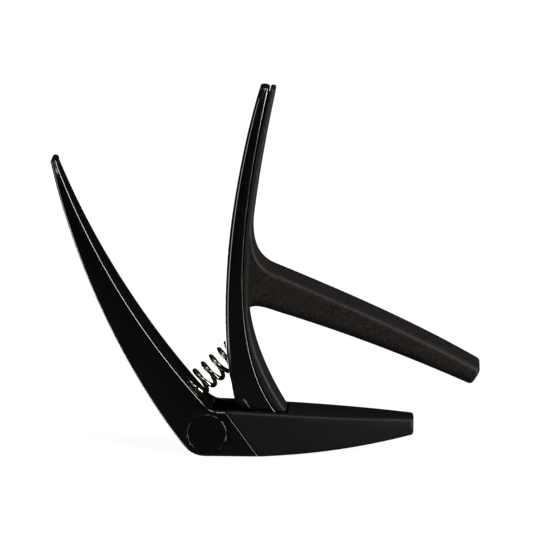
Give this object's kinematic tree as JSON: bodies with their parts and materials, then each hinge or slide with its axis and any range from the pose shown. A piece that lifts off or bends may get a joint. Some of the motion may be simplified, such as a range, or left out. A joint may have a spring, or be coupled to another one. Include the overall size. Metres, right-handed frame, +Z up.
{
  "type": "guitar capo",
  "caption": "Spring clamp for a guitar neck: two squeeze handles open a padded string bar and a neck rest.",
  "frame": {"origin": "on the ground under the middle of the object, in its middle plane", "axes": "+X from the squeeze handles to the jaws, +Z up from the flat base, Y across the middle plane"},
  "size_m": [0.0943, 0.0124, 0.0828],
  "materials": {
    "gloss_black": "gloss black enamel on die-cast metal",
    "neck_sleeve": "smooth soft-touch, matt",
    "lever_sleeve": "fine spark-eroded grain, matt",
    "pad": "silicone, matt",
    "spring_steel": "black nickel plate",
    "seat_steel": "pressed, dark plate",
    "pin_steel": "ground",
    "nylon": "moulded",
    "stop_rubber": "moulded",
    "badge": "satin dark inlay"
  },
  "bodies": {
    "frame": {"frame_casting": "gloss_black", "neck_jaw_sleeve": "neck_sleeve", "hinge_pin": "pin_steel", "stop_pad": "stop_rubber", "spring": "spring_steel", "spring_cup_frame": "seat_steel", "badge_disc": "badge"},
    "lever": {"lever_casting": "gloss_black", "lever_sleeve": "lever_sleeve", "string_pad": "pad", "hinge_bush_near": "nylon", "hinge_bush_far": "nylon", "spring_washer_lever": "seat_steel"}
  },
  "joints": [
    {"name": "lever_squeeze", "type": "hinge", "parent": "frame", "child": "lever", "pos_m": [-0.0008, 0, 0.0064], "axis": [0, -1, 0], "range_deg": [0, 24], "stiffness_Nm_per_rad": 3.5, "springref_deg": -12.26, "deforming": ["spring"]}
  ]
}
